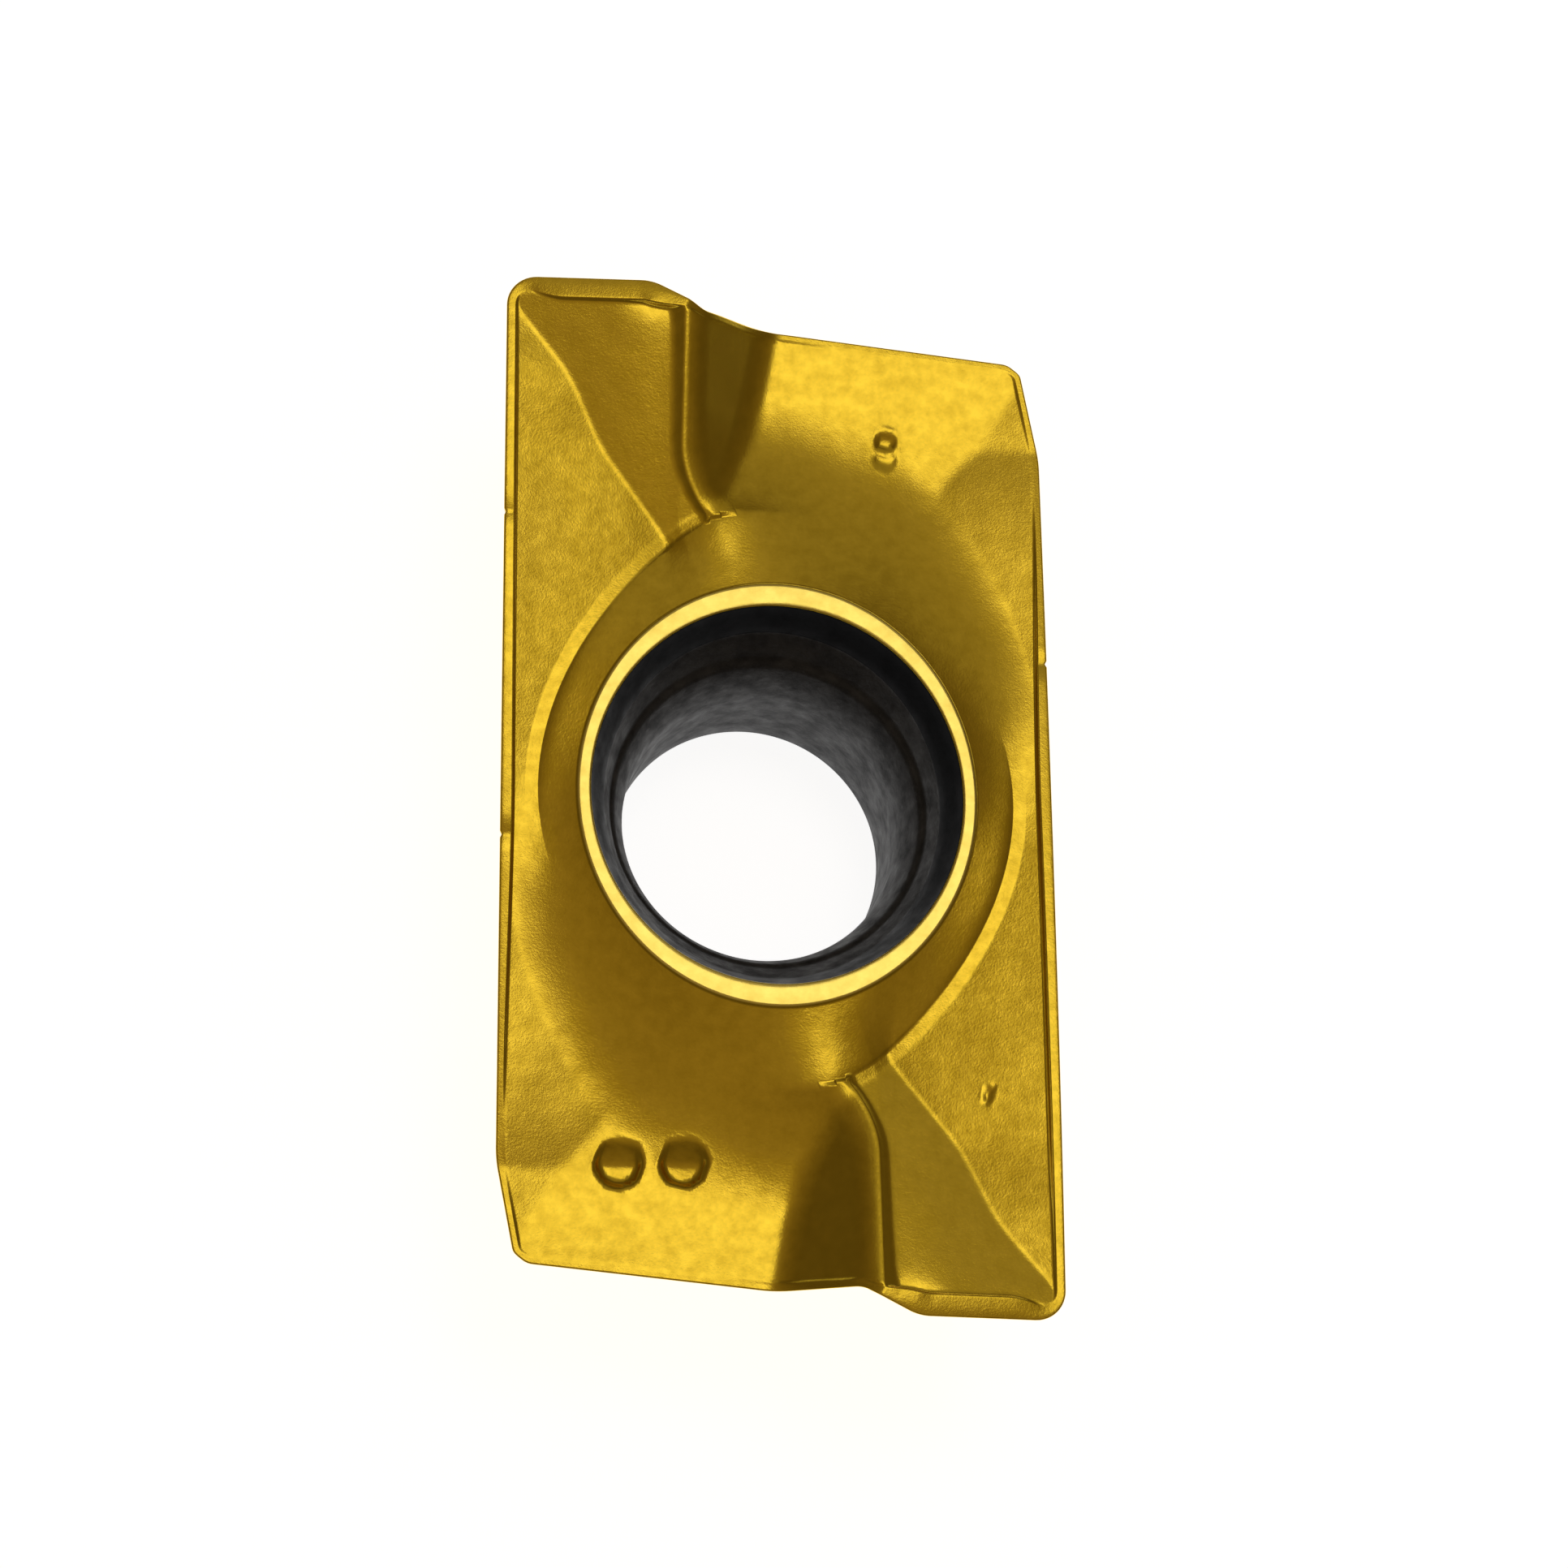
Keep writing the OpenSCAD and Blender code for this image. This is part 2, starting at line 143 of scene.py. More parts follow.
def over(a, b, r):
    """The higher of two heights, rounded where they meet."""
    return np.maximum(a, b) + r * np.maximum(0, 1 - np.abs(a - b) / r) ** 2 / 4


def under(a, b, r):
    return -over(-a, -b, r)


def long_edge(y):
    blunt_bevel, fall_power = 2.5, 1.6
    along = clamp((half_length - y) / (2 * half_length - blunt_bevel))
    return corner_height - (corner_height - end_height) * along ** fall_power


def wedge(d, h):
    """Height of the wedge's edge at distance d outside the ridge, h high at the ridge."""
    spread, fullness = 1.9, 1.6
    h = np.maximum(h, 1e-6)
    t = clamp(d / (spread * h))
    return h * (1 - t) ** 2 * (1 + fullness * t)


def end_edge(x):
    rising = corner_height + ridge_rise * clamp((x + half_width) / (half_width + ridge_start_x))
    falling = end_height + wedge(x - ridge_start_x, bend_height - end_height)
    return np.where(x < ridge_start_x, rising, falling)


def side_face(x, y):
    """The facet along a long edge: a drop behind the land, then a rake inwards."""
    active_rake, blunt_rake, rake_start, rake_run = 0.135, 0.1, 1, 5
    land_width, corner_drop, added_drop, drop_start, drop_run = 0.16, 0.02, 0.08, 7.4, 1.8
    fade_start, fade_run = -2, 4
    h = long_edge(y)
    inside = x + half_width - 0.5 * side_relief * (corner_height - h)
    rake = mix(active_rake, blunt_rake, smooth((rake_start - y) / rake_run))
    drop = corner_drop + added_drop * smooth((drop_start - y) / drop_run)
    fading = 1 - smooth((fade_start - y) / fade_run)
    return h - drop * fading - rake * np.maximum(0, inside - land_width)


def minor_face(x, y):
    """The facet behind a minor edge."""
    lift, rake = 0.01, 0.18
    behind = np.maximum(0, half_length - y - minor_land)
    return end_edge(np.minimum(x, ridge_start_x - 0.001)) + lift - rake * behind


def nook(x, y):
    """How far the minor facet is sunk at the ridge's foot and close behind the land."""
    foot_depth, foot_place, foot_width, foot_length = 0.03, -1.83, 0.5, 3
    land_depth, land_start, land_run, land_length = 0.05, -2.9, 0.9, 0.15
    behind = np.maximum(0, half_length - y - 0.4)
    at_foot = foot_depth * np.exp(-((x - foot_place) / foot_width) ** 2 - behind / foot_length)
    return at_foot + land_depth * smooth((x - land_start) / land_run) * np.exp(-behind / land_length)


def ridge_x(y):
    bend_length = 1.25
    return ridge_start_x + (ridge_end_x - ridge_start_x) * (1 - clamp((y - ridge_end_y) / bend_length)) ** 2


def ridge_height(y):
    above_facet = 0.015
    return minor_face(ridge_start_x - 0.002, y) + above_facet


# The rim runs round the hole and flares out to the ridge's end. Angles are in degrees round the hole's axis.
rim_radius, rim_power = 4.08, 2.9
rim_start = math.degrees(math.atan2(ridge_end_y, ridge_end_x))
rim_flare = math.hypot(ridge_end_x, ridge_end_y) - rim_radius


def rim_at(a):
    way = under((180 - a) / (180 - rim_start), 1.0, 0.12)
    return rim_radius + rim_flare * np.maximum(0, way) ** rim_power


def oval_radius(a, u, v):
    return 1 / np.hypot(np.cos(np.radians(a)) / u, np.sin(np.radians(a)) / v)


def end_face(x, y):
    """The face behind an end edge, hollow and falling inwards."""
    end_slant, rake, hollowing = 0.089, 0.09, 0.018
    d = np.clip(8.38 - np.abs(y) - end_slant * x * np.sign(y), 0, 2.5)
    return end_height - rake * d + hollowing * d * d


def middle_face(x, y, near_share=1.0):
    """The hub and what lies round it: the end face, the far side's facet and a share of the near side's."""
    below_all = 3.5
    angle, far = np.degrees(np.arctan2(y, x)), np.hypot(x, y)
    inner, outer = oval_radius(angle, *collar_foot), oval_radius(angle, *hub_reach)
    near_side = side_face(x, y) - 0.5 * np.maximum(0, y - 2) - 2 * np.maximum(0, x + 2.8)
    valley = over(end_face(x, y), side_face(-x, -y), 0.02)
    low = over(valley, mix(below_all, near_side, near_share), 0.05)
    rise = clamp((outer - far) / (outer - inner)) ** (1.25 + 0.5 * smooth(np.abs(y) / far * 2 - 1))
    return mix(low, hub_top, rise)


def rim_bank(a, in_r):
    """What the hub gains beside a rim, so that it meets the pocket there, dying away on both sides."""
    fade_angle, shelf, outside_reach = 25, 0.12, 1.2
    sharp_blend, wider_blend = 0.03, 0.25
    x, y = rim_at(a) * np.cos(np.radians(a)), rim_at(a) * np.sin(np.radians(a))
    foot = over(side_face(x, y), minor_face(x, y), sharp_blend + wider_blend * clamp(-in_r))
    gain = (foot - middle_face(x, y, 0.0)) * smooth((a - rim_start + fade_angle) / fade_angle)
    reach = rim_at(a) - 0.1 - oval_radius(a, *collar_foot)
    inwards = clamp(1 - (np.hypot(np.minimum(in_r, 0), shelf) - shelf) / reach)
    return gain * np.where(in_r < 0, inwards, np.exp(-np.maximum(0, in_r) / outside_reach))


def half_face(x, y):
    """The rake face on the side of one active corner."""
    rim_strip, crest, crest_slope, crest_blend = 0.22, 0.05, 0.5, 0.2
    facet_blend, ridge_blend, flank_start, flank_blend = 0.014, 0.03, 0.12, 0.16
    last_angle, last_run = 164, 40
    angle = np.degrees(np.arctan2(y, x))
    angle = np.where(angle < -90, angle + 360, angle)
    in_x = ridge_x(y) - x
    in_r = np.hypot(x, y) - rim_at(angle)
    ridge, middle = ridge_height(y), middle_face(x, y)
    banked = middle_face(x, y, 0.0) + rim_bank(angle, in_r)
    back = 1 - clamp(in_r / rim_strip) * rim_strip / np.hypot(x, y)
    facets = over(side_face(x * back, y * back), minor_face(x * back, y * back), facet_blend)
    pocket = over(facets - nook(x, y), ridge - crest_slope * np.maximum(0, in_x - crest), ridge_blend)
    flank_slope = mix(0.5, 0.7, clamp((y - 5) / 2))
    flank = under(ridge, ridge + flank_start + flank_slope * in_x, flank_blend)
    outside = mix(over(banked, flank, 0.2), pocket, smooth(in_x / crest_blend + 0.5))
    return mix(np.where(in_r >= 0, outside, banked), middle, smooth((angle - last_angle) / last_run))


def face(x, y):
    """The whole rake face: each corner's half lies on its own side of a line through the hole."""
    parting_slope = 0.364
    turn = np.where(y - parting_slope * x >= 0, 1.0, -1.0)
    return half_face(x * turn, y * turn)


# Edges and lands: the narrow strip pressed along every cutting edge, with the drop behind it.
# The minor edges have the widest land, and the blunt ends hardly any.
# Going down to the seating face the flank leans in, so an edge lies further in where it is lower.
end_land, nose_land, side_land, active_side_land = 0.11, 0.16, 0.2, 0.15


def edge_height(p):
    """Height of the cutting edge at a point of the contour."""
    x, y = p
    if y < 0 and x > -half_width + 1:
        return edge_height((-x, -y))
    if x < -half_width + 0.2 and y < half_length - nose_radius:
        return float(long_edge(y))
    if y > half_length - 2 and x < half_width - blunt_inset:
        return float(end_edge(np.float64(x)))
    return float(long_edge(-y)) if x > 0 else float(long_edge(y))


def land_at(p):
    """Width of the land at a point of the contour."""
    x, y = p
    if y < 0:
        x, y = -x, -y
    if x > half_width - 1:
        narrower = smooth(y / half_length * 1.6)
        return end_land if y > half_length - 3 else float(mix(side_land, end_land, narrower))
    if x < -half_width + 0.1:
        return float(mix(side_land, active_side_land, clamp(y / half_length)))
    if x < -half_width + 2:
        return float(mix(nose_land, minor_land, smooth(x + half_width)))
    return float(mix(minor_land, end_land, smooth((x + 2.2) / 0.8)))


edge_z = np.array([edge_height(p) for p in outline])
edge_relief = mix(side_relief, end_relief, smooth((np.abs(inward[:, 1]) - 0.2) / 0.6))
edge_xy = outline + inward * (0.5 * edge_relief * (corner_height - edge_z))[:, None]
land = np.array([land_at(p) for p in outline])
land_xy = edge_xy + inward * land[:, None]
land_foot = 0.06
foot_xy = land_xy + inward * land_foot
for k in nicks:
    edge_xy[k] += inward[k] * nick_depth
    edge_z[k] -= nick_drop


# Collar and the way the mesh runs: one column of the mesh for each point of the contour, from the land to the
# collar, drawn aside so that columns lie along each ridge and its outer foot, and a row along each rim.
collar_flat_outer, collar_flat_inner = (3.37, 3.68), (3.22, 3.37)
column_turns = ([0, 62, 101.3, 135, 180], [0, 60, 105.4, 136, 180])


def oval(a, u, v):
    c, s = np.cos(np.radians(a)), np.sin(np.radians(a))
    r = 1 / np.hypot(c / u, s / v)
    return np.stack([c * r, s * r], 1)


def collar_angle(p):
    """Where on the collar, in degrees, the column from a point of the contour ends."""
    x, y = p
    if y < 0:
        return collar_angle((-x, -y)) - 180
    return float(np.interp(math.degrees(math.atan2(y, x)), *column_turns))


angles = np.array([collar_angle(p) for p in foot_xy])
collar_xy = oval(angles, *collar_foot)


def foot_x(y):
    """Where the outer slope of the ridge meets the end face."""
    flank_fall, foot_height = 0.7, 3.92
    return ridge_x(y) + (ridge_height(y) - foot_height) / flank_fall


def column_near(x):
    return int(np.argmin(np.where(foot_xy[:, 1] > 6, np.abs(foot_xy[:, 0] - x), 99)))


ridge_column, wedge_column = column_near(ridge_x(8.4)), column_near(foot_x(8.4))


def column_x(k, y):
    (x0, y0), (x1, y1) = collar_xy[k], foot_xy[k]
    return mix(x0, x1, (y - y0) / (y1 - y0))


def bent(p):
    """Moves the rows' points so that one column lies along each ridge and one along its outer foot."""
    ridge_side, end_side = 1.1, 1.4
    turn = np.where(p[:, 1] < 0, -1.0, 1.0)
    x, y = p[:, 0] * turn, p[:, 1] * turn
    a, b = column_x(ridge_column, y), column_x(wedge_column, y)
    to_ridge, to_foot = ridge_x(y) - a, foot_x(y) - b
    between = mix(to_ridge, to_foot, (x - a) / (b - a))
    beyond = np.where(x > b, to_foot * np.exp(-((x - b) / end_side) ** 2), between)
    move = np.where(x < a, to_ridge * np.exp(-((x - a) / ridge_side) ** 2), beyond)
    move = move * smooth((y - 3.88) / 1.1) * turn
    return p + np.stack([move, 0 * move], 1)


# The share of each column that lies inside the rim is found by steps from a first guess.
share = np.full(column_count, 0.3)
for _ in range(14):
    p = bent(mix(collar_xy, foot_xy, share[:, None]))
    turn = np.where((p[:, 1] < 0) | ((p[:, 1] == 0) & (p[:, 0] > 0)), -1.0, 1.0)
    q = p * turn[:, None]
    a = np.degrees(np.arctan2(q[:, 1], q[:, 0]))
    r = rim_at(np.where(a < rim_start, mix(180, rim_start, smooth(a / rim_start)), a))
    reach = np.hypot(*foot_xy.T) - np.hypot(*collar_xy.T)
    share = clamp(share + (r - np.hypot(*p.T)) / reach)


# Marks on the rake face: two round hollows left by the press at one end, a pip and a shallow dent at
# the other, a pinhole in one pocket, and the slow waviness that sintering leaves.
# Each mark: its place, radius, depth and the height of its lip.
marks = (
    (-2.62, -6.39, 0.39, 0.26, 0.008),
    (-1.53, -6.36, 0.39, 0.26, 0.008),
    (1.98, 6.62, 0.19, 0.07, 0.02),
    (1.98, 6.30, 0.2, 0.035, 0.004),
    (3.56, -5.13, 0.09, 0.08, 0.008),
)


def waviness(x, y):
    slow, quick = 0.9, 2.3
    return np.array([
        0.004 * noise.noise(Vector((px * slow, py * slow, 3.1)))
        + 0.0015 * noise.noise(Vector((px * quick, py * quick, 7.7)))
        for px, py in zip(x, y)
    ])


def hollow(x, y, cx, cy, radius, depth, lip):
    """A round hollow whose floor slopes down from the upper side and is flat below its middle."""
    floor_share, slope_power = 0.6, 0.9
    d = np.hypot(x - cx, y - cy)
    floor_depth = -floor_share * depth * clamp(1 + (cy - y) / radius) ** slope_power
    bowl = np.maximum(-depth * np.sqrt(np.maximum(0, 1 - (d / radius) ** 2)), floor_depth)
    return bowl + lip * np.exp(-((d - radius * 1.04) / (radius * 0.16)) ** 2)


def wear(x, y):
    h = waviness(x, y)
    for mark in marks:
        h += hollow(x, y, *mark)
    return h


# Body mesh: rows from the seating face up the flank, over the honed edge and the land, in across the rake
# face to the collar, down the mouth, the wide wall, the rounded screw seat and the bore, and back along
# the seating face.
hone = 0.035
collar_top, mouth_top = 4.44, 4.415
mouth, wall_foot = (3.19, 3.34), (2.9, 3.08)
wall_top_z, wall_foot_z = 4.40, 3.78
seat_radius, seat_top_z, seat_foot_z, seat_inset = 2.72, 3.2, 2.0, 0.3
bore_radius, bore_chamfer, base_break = 2.4, 0.13, 0.05


def level(xy, z):
    z = np.broadcast_to(np.asarray(z, float), (column_count,))
    return np.column_stack([xy, z])


base_ring = level(base_outline, 0.0)
edge_ring = level(edge_xy, edge_z)
land_rise = np.interp(land, [end_land, 0.27, minor_land], [0.0, 0.004, 0.014])
flank_way = base_ring - edge_ring
flank_way /= np.linalg.norm(flank_way, axis=1)[:, None]
land_way = np.column_stack([inward, 0 * edge_z])

rows = [level(base_outline + inward * base_break, 0.0), mix(base_ring, edge_ring, 0.012)]
rows += [mix(base_ring, edge_ring, t) for t in (0.1, 0.3, 0.5, 0.7, 0.88)]
for t in (0, 0.25, 0.5, 0.75, 1):
    rows.append(edge_ring + flank_way * hone * (1 - t) ** 2 + land_way * hone * t ** 2)
for t in (0.35, 0.5, 0.65, 0.8, 0.9):
    rows.append(level(mix(edge_xy, land_xy, t), edge_z + land_rise * (1 - (1 - t) ** 2)))


def face_row(s):
    """A row across the rake face: s runs from 0 at the collar to 1 at the rim and 2 behind the land."""
    near = share if s >= 1 else share * s
    part = near + (1 - near) * (s - 1) if s >= 1 else near
    xy = bent(mix(collar_xy, foot_xy, part[:, None]))
    return level(xy, face(xy[:, 0], xy[:, 1]) + wear(xy[:, 0], xy[:, 1]))


outer_way = np.linspace(0.0, 1.0, 59)
outer_steps = 1 + smooth(outer_way) * 0.35 + outer_way * 0.65
inner_steps = np.linspace(0.02, 0.985, 24)
face_rows = [face_row(s) for s in np.concatenate([inner_steps, outer_steps])][::-1]

behind_land = face_rows[0][:, 2]
rows += [level(land_xy + inward * t * land_foot, mix(edge_z + land_rise, behind_land, z)) for t, z in
         ((-0.1, 0.0), (0.12, 0.05), (0.4, 0.45), (0.75, 0.9))]
rows += face_rows

collar_base = face_row(0.0)[:, 2]
rows.append(level(collar_xy, collar_base))
for d, z in ((0.012, 0.35), (0.026, 0.72), (0.045, 0.94), (0.075, 1.0)):
    collar_side = oval(angles, collar_foot[0] - d, collar_foot[1] - d)
    rows.append(level(collar_side, mix(collar_base, collar_top, z)))
rows += [level(mix(oval(angles, *collar_flat_outer), oval(angles, *collar_flat_inner), t), collar_top)
         for t in (0.35, 0.7)]
rows += [level(oval(angles, mouth[0] + d, mouth[1] + d), z) for d, z in
         ((0.03, collar_top), (0.012, collar_top - 0.006), (0.0, mouth_top))]
rows += [level(mix(oval(angles, *mouth), oval(angles, *wall_foot), t), mix(wall_top_z, wall_foot_z, t))
         for t in (0.05, 0.35, 0.7, 0.96)]
seat_rim = oval(angles, seat_radius, seat_radius)
rows += [level(mix(oval(angles, *wall_foot), seat_rim, t), mix(wall_foot_z - 0.02, seat_top_z, t))
         for t in (0.0, 0.1, 0.4, 0.75, 1.0)]
seat_height = seat_top_z - seat_foot_z
seat_curve = (seat_height ** 2 + seat_inset ** 2) / (2 * seat_inset)
for a in np.linspace(math.asin(seat_height / seat_curve), 0, 9):
    radius = bore_radius + seat_curve * (1 - math.cos(a))
    rows.append(level(oval(angles, radius, radius), seat_foot_z + seat_curve * math.sin(a)))
bore_rows = ((0, 1.2), (0, 0.5), (0, 0.11), (0.01, 0.08), (0.05, 0.04), (0.09, 0.01), (bore_chamfer, 0.0))
for wider, z in bore_rows:
    rows.append(level(oval(angles, bore_radius + wider, bore_radius + wider), z))
base_mouth = oval(angles, bore_radius + bore_chamfer, bore_radius + bore_chamfer)
rows += [level(mix(base_mouth, base_outline + inward * base_break, t), 0.0) for t in (0.05, 0.4, 0.8, 0.97)]

row_count = len(rows)
grid = bmesh.new()
bmesh.ops.create_grid(grid, x_segments=column_count, y_segments=row_count, size=0.5)
grid_points = np.array(rows)
for v in grid.verts:
    i = int(round((v.co.x + 0.5) * column_count)) % column_count
    j = int(round((v.co.y + 0.5) * row_count)) % row_count
    v.co = Vector(grid_points[j, i])
bmesh.ops.remove_doubles(grid, verts=grid.verts, dist=1e-5)
bmesh.ops.recalc_face_normals(grid, faces=grid.faces)
painted_shade_slot, carbide_slot, collar_highlight_slot = 1, 2, 3
for f in grid.faces:
    c = f.calc_center_median()
    f.smooth = c.z > 0.001
    mouth_size = math.hypot(c.x / mouth[0], c.y / mouth[1])
    collar_size = math.hypot(c.x / collar_foot[0], c.y / collar_foot[1])
    # Faces of the mouth's upper wall get a near-black colour that is painted shade; the wall below it is bare
    # carbide.
    if mouth_size < 1.0 and c.z > 0.0:
        f.material_index = painted_shade_slot if c.z > wall_foot_z - 0.01 else carbide_slot
    # Faces on the collar's flat top get a paler colour that is a painted highlight.
    elif collar_size < 1.0 and c.z > collar_top - 0.01:
        f.material_index = collar_highlight_slot
bmesh.ops.scale(grid, vec=(0.001, 0.001, 0.001), verts=grid.verts)
insert_mesh = bpy.data.meshes.new("insert_body")
grid.to_mesh(insert_mesh)
grid.free()
insert_body = bpy.data.objects.new("insert_body", insert_mesh)
bpy.context.scene.collection.objects.link(insert_body)


# Pressed surface: the cloudy, faintly granular skin of sintered carbide, under the coating and in the hole.
# One node group gives its clouds, its grain and its relief.
def pressed_surface_group():
    group = bpy.data.node_groups.new("pressed_surface", "ShaderNodeTree")
    group.interface.new_socket("Vector", in_out="INPUT", socket_type="NodeSocketVector")
    for name in ("Cloud Scale", "Grain Scale"):
        group.interface.new_socket(name, in_out="INPUT", socket_type="NodeSocketFloat")
    for name in ("Clouds", "Relief"):
        group.interface.new_socket(name, in_out="OUTPUT", socket_type="NodeSocketFloat")
    nodes, links = group.nodes, group.links
    entry, leave = nodes.new("NodeGroupInput"), nodes.new("NodeGroupOutput")
    clouds = nodes.new("ShaderNodeTexNoise")
    clouds.inputs["Detail"].default_value = 4.0
    clouds.inputs["Roughness"].default_value = 0.6
    grain = nodes.new("ShaderNodeTexNoise")
    grain.inputs["Detail"].default_value = 2.0
    grain.inputs["Roughness"].default_value = 0.7
    for texture, name in ((clouds, "Cloud Scale"), (grain, "Grain Scale")):
        links.new(entry.outputs["Vector"], texture.inputs["Vector"])
        links.new(entry.outputs[name], texture.inputs["Scale"])
    spread = nodes.new("ShaderNodeMapRange")
    spread.inputs["From Min"].default_value = 0.32
    spread.inputs["From Max"].default_value = 0.68
    links.new(clouds.outputs["Fac"], spread.inputs["Value"])
    relief = nodes.new("ShaderNodeMath")
    relief.operation = "MULTIPLY_ADD"
    relief.inputs[1].default_value = 0.9
    links.new(grain.outputs["Fac"], relief.inputs[0])
    links.new(clouds.outputs["Fac"], relief.inputs[2])
    links.new(spread.outputs["Result"], leave.inputs["Clouds"])
    links.new(relief.outputs["Value"], leave.inputs["Relief"])
    return group


pressed_surface = pressed_surface_group()


def finish_material(name, dark, light, smoothest, roughest, metallic, cloud_scale, grain_scale, bump_height):
    """A finish whose colour and roughness drift with the pressed surface."""
    material = bpy.data.materials.new(name)
    material.use_nodes = True
    nodes, links = material.node_tree.nodes, material.node_tree.links
    shader = nodes["Principled BSDF"]
    shader.inputs["Metallic"].default_value = metallic
    place = nodes.new("ShaderNodeTexCoord")
    skin = nodes.new("ShaderNodeGroup")
    skin.node_tree = pressed_surface
    skin.inputs["Cloud Scale"].default_value = cloud_scale
    skin.inputs["Grain Scale"].default_value = grain_scale
    links.new(place.outputs["Object"], skin.inputs["Vector"])
    tone = nodes.new("ShaderNodeMix")
    tone.data_type = "RGBA"
    tone.inputs["A"].default_value = (*dark, 1)
    tone.inputs["B"].default_value = (*light, 1)
    links.new(skin.outputs["Clouds"], tone.inputs["Factor"])
    links.new(tone.outputs["Result"], shader.inputs["Base Color"])
    rough = nodes.new("ShaderNodeMapRange")
    rough.inputs["To Min"].default_value = roughest
    rough.inputs["To Max"].default_value = smoothest
    links.new(skin.outputs["Clouds"], rough.inputs["Value"])
    links.new(rough.outputs["Result"], shader.inputs["Roughness"])
    bump = nodes.new("ShaderNodeBump")
    bump.inputs["Strength"].default_value = 0.5
    bump.inputs["Distance"].default_value = bump_height
    links.new(skin.outputs["Relief"], bump.inputs["Height"])
    links.new(bump.outputs["Normal"], shader.inputs["Normal"])
    return material


# Finishes: the gold coating, a near-black band of painted shade on the upper wall inside the mouth, the bare
# carbide wall of the hole, and the collar, smoother than the rest, whose paler colour is a painted highlight.
# Each has a darker and a lighter tone.
gold_coating = finish_material(
    "gold_coating", dark=(0.78, 0.515, 0.032), light=(0.92, 0.62, 0.045), smoothest=0.18, roughest=0.23,
    metallic=1.0, cloud_scale=4200, grain_scale=26000, bump_height=0.000004)
# Painted shade: a near-black colour with little shine stands in for the shade on the mouth's upper wall.
painted_shade_band = finish_material(
    "painted_shade_band", dark=(0.002, 0.002, 0.004), light=(0.006, 0.006, 0.009), smoothest=0.45, roughest=0.6,
    metallic=0.2, cloud_scale=2600, grain_scale=16000, bump_height=0.000004)
painted_shade_band.node_tree.nodes["Principled BSDF"].inputs["Specular IOR Level"].default_value = 0.15
bare_carbide = finish_material(
    "bare_carbide", dark=(0.022, 0.022, 0.024), light=(0.075, 0.075, 0.078), smoothest=0.5, roughest=0.7,
    metallic=0.0, cloud_scale=2600, grain_scale=9000, bump_height=0.00002)
# Painted highlight: a paler, whiter gold stands in for the lamp's bright reflection on the collar's flat top;
# its lower roughness is its own.
collar_gold_painted_highlight = finish_material(
    "collar_gold_painted_highlight", dark=(0.86, 0.64, 0.12), light=(0.95, 0.74, 0.16), smoothest=0.13, roughest=0.18,
    metallic=1.0, cloud_scale=3400, grain_scale=16000, bump_height=0.000001)
for material in (gold_coating, painted_shade_band, bare_carbide, collar_gold_painted_highlight):
    insert_mesh.materials.append(material)

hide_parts("insert")
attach(insert_body, "root")


# Floor: a plain pale table top under the seating face.
# It keeps the insert's shadow, and the camera sees it nearly white.
floor_grid = bmesh.new()
bmesh.ops.create_grid(floor_grid, x_segments=4, y_segments=4, size=0.4)
floor_mesh = bpy.data.meshes.new("floor")
floor_grid.to_mesh(floor_mesh)
floor_grid.free()
floor = bpy.data.objects.new("floor", floor_mesh)
bpy.context.scene.collection.objects.link(floor)
floor_finish = bpy.data.materials.new("pale_floor")
floor_finish.use_nodes = True
nodes, links = floor_finish.node_tree.nodes, floor_finish.node_tree.links
shader = nodes["Principled BSDF"]
shader.inputs["Base Color"].default_value = (0.85, 0.85, 0.85, 1)
shader.inputs["Roughness"].default_value = 0.9
shader.inputs["Emission Color"].default_value = (1, 1, 1, 1)
rays = nodes.new("ShaderNodeLightPath")
seen = nodes.new("ShaderNodeMath")
seen.operation = "MAXIMUM"
links.new(rays.outputs["Is Camera Ray"], seen.inputs[0])
links.new(rays.outputs["Is Glossy Ray"], seen.inputs[1])
seen_through = nodes.new("ShaderNodeMath")
seen_through.operation = "MAXIMUM"
links.new(seen.outputs["Value"], seen_through.inputs[0])
links.new(rays.outputs["Is Transmission Ray"], seen_through.inputs[1])
glow = nodes.new("ShaderNodeMath")
glow.operation = "MULTIPLY"
glow.inputs[1].default_value = 0.9
links.new(seen_through.outputs["Value"], glow.inputs[0])
links.new(glow.outputs["Value"], shader.inputs["Emission Strength"])
floor_mesh.materials.append(floor_finish)


# Light: one wide softbox overhead, a little towards the far end, and a weak fill beyond it.
# Round them is a dim room that is paler near the table.
def area_lamp(name, width, depth, energy, aim, away):
    """A rectangular lamp that faces the insert from the direction aim, so far away."""
    lamp = bpy.data.lights.new(name, "AREA")
    lamp.shape = "RECTANGLE"
    lamp.size, lamp.size_y, lamp.energy = width, depth, energy
    lamp_object = bpy.data.objects.new(name, lamp)
    aim = Vector(aim).normalized()
    facing = aim.to_track_quat("Z", "Y").to_matrix().to_4x4()
    lamp_object.matrix_world = Matrix.Translation(aim * away) @ facing
    bpy.context.scene.collection.objects.link(lamp_object)


area_lamp("softbox", 0.125, 0.112, 0.047, (0.14, 0.255, 0.95), 0.35)
area_lamp("fill", 0.3, 0.2, 0.025, (0.15, 0.62, 0.77), 0.4)

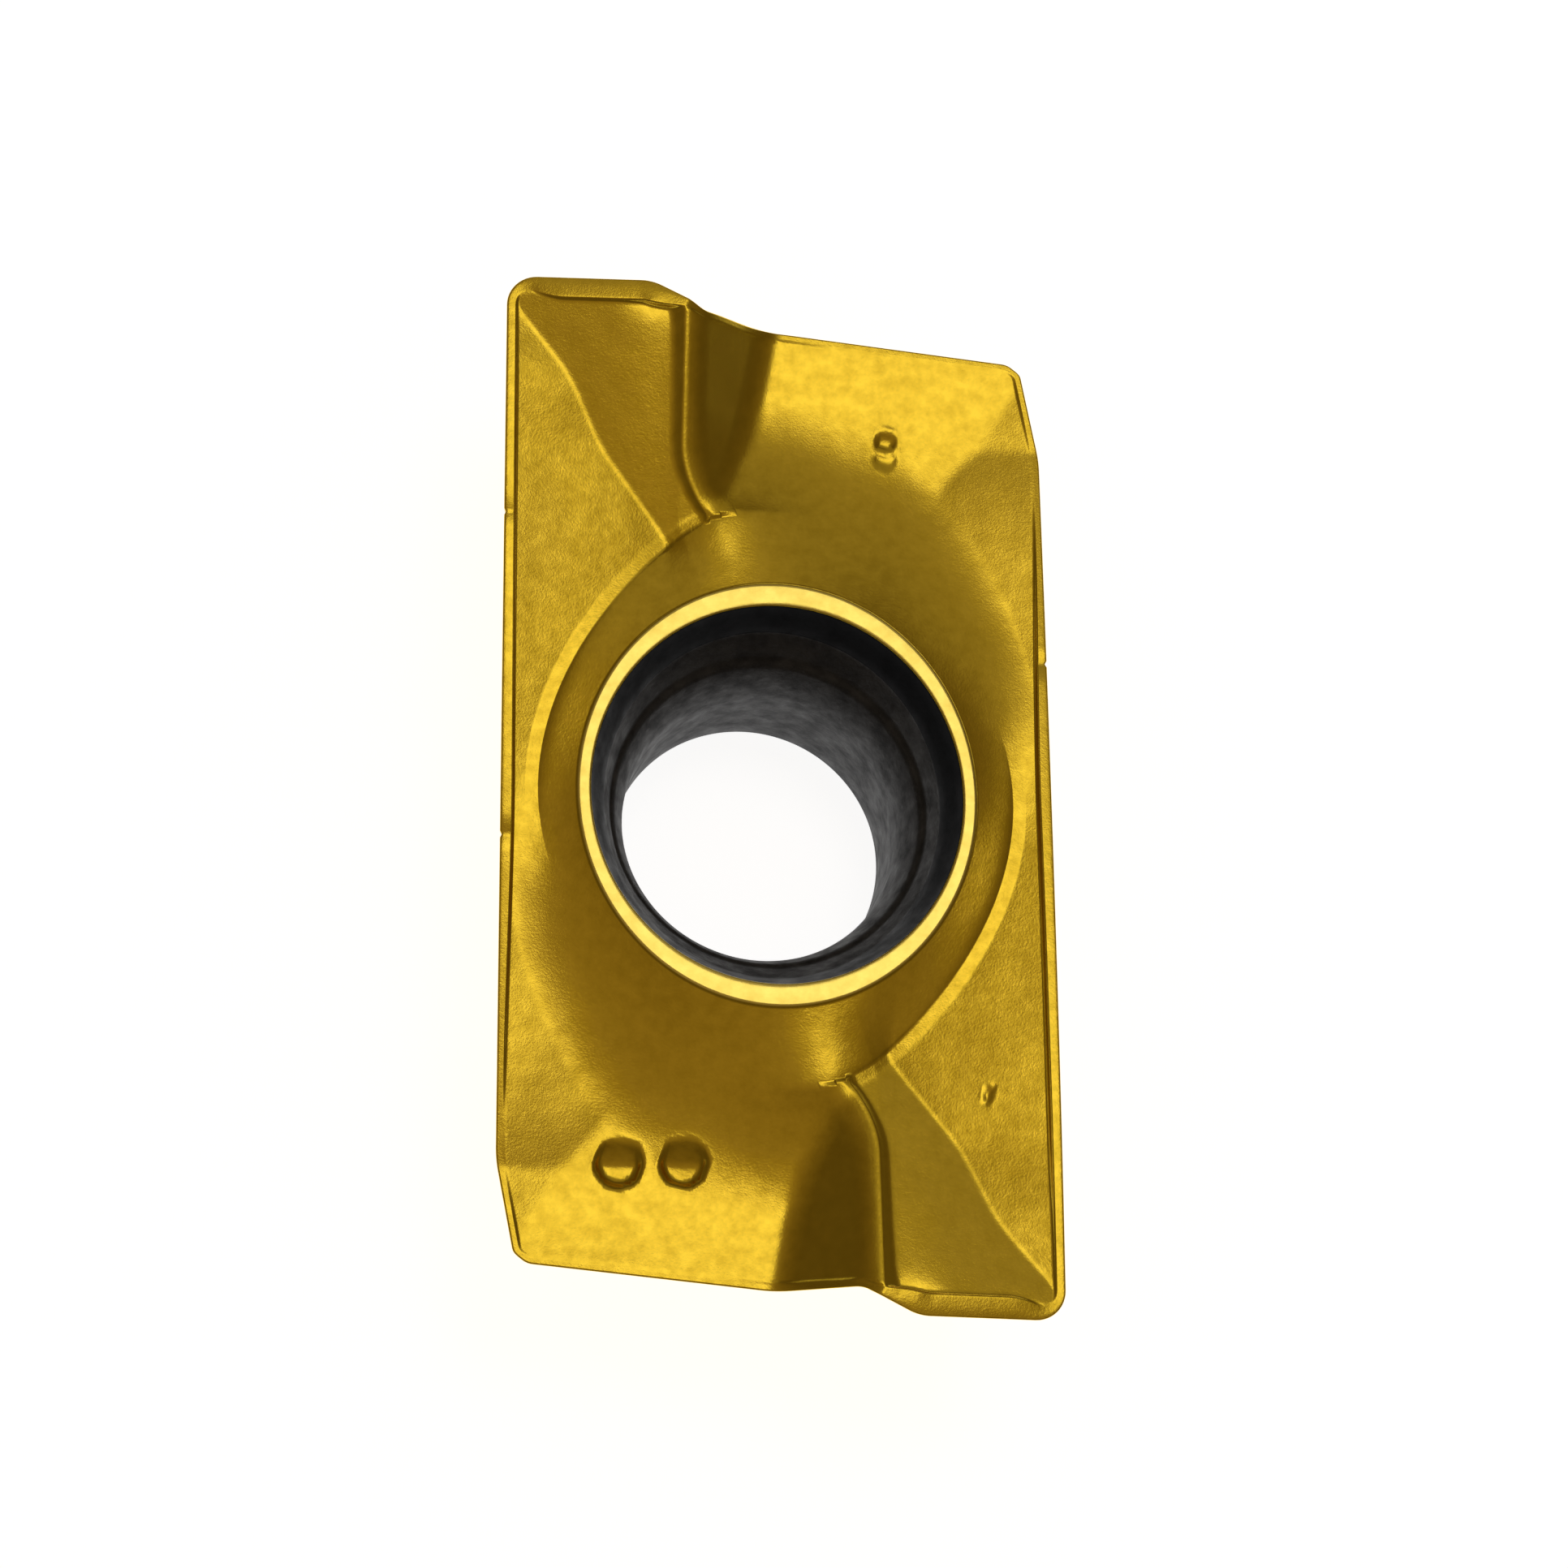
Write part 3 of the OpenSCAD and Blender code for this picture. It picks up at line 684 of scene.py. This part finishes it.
room = bpy.data.worlds.new("room")
bpy.context.scene.world = room
room.use_nodes = True
nodes, links = room.node_tree.nodes, room.node_tree.links
sky = nodes["Background"]
way = nodes.new("ShaderNodeTexCoord")
split = nodes.new("ShaderNodeSeparateXYZ")
links.new(way.outputs["Generated"], split.inputs["Vector"])
ramp = nodes.new("ShaderNodeValToRGB")
stops = ramp.color_ramp.elements
stops[0].position, stops[0].color = 0.0, (0.75, 0.75, 0.76, 1)
stops[1].position, stops[1].color = 1.0, (0.25, 0.195, 0.13, 1)
for position, colour in ((0.08, (0.4, 0.4, 0.4)), (0.18, (0.09, 0.07, 0.05)),
                         (0.6, (0.1, 0.077, 0.05)), (0.85, (0.15, 0.115, 0.075))):
    stops.new(position).color = (*colour, 1)
links.new(split.outputs["Z"], ramp.inputs["Fac"])
links.new(ramp.outputs["Color"], sky.inputs["Color"])
sky.inputs["Strength"].default_value = 1.0


# Camera: looks down on the rake face from the photograph's side, with its long lens.
# Its direction, roll and scale come from fitting a pinhole camera to the contour and the hole.
image_px, centre_px = 1932.0, (954.3, 985.6)
distance, scale_px, aim_height = 90.0, 72.2998, 4.0
view = Vector((-0.1499, -0.30098, 1.0)).normalized()
roll = -0.002485
right = Vector((0, 1, 0)).cross(view).normalized()
up = view.cross(right)
right, up = right * math.cos(roll) + up * math.sin(roll), up * math.cos(roll) - right * math.sin(roll)
place = (Vector((0, 0, aim_height)) + view * distance
         - right * (centre_px[0] - image_px / 2) / scale_px + up * (centre_px[1] - image_px / 2) / scale_px)
camera_data = bpy.data.cameras.new("camera")
camera_data.sensor_width = 36
camera_data.lens = camera_data.sensor_width * scale_px * distance / image_px
camera_data.clip_start = 0.005
camera_data.clip_end = 10
camera = bpy.data.objects.new("camera", camera_data)
bpy.context.scene.collection.objects.link(camera)
camera.matrix_world = Matrix(((right.x, up.x, view.x, place.x * 0.001),
                              (right.y, up.y, view.y, place.y * 0.001),
                              (right.z, up.z, view.z, place.z * 0.001),
                              (0, 0, 0, 1)))
bpy.context.scene.camera = camera
bpy.context.scene.view_settings.view_transform = "Standard"
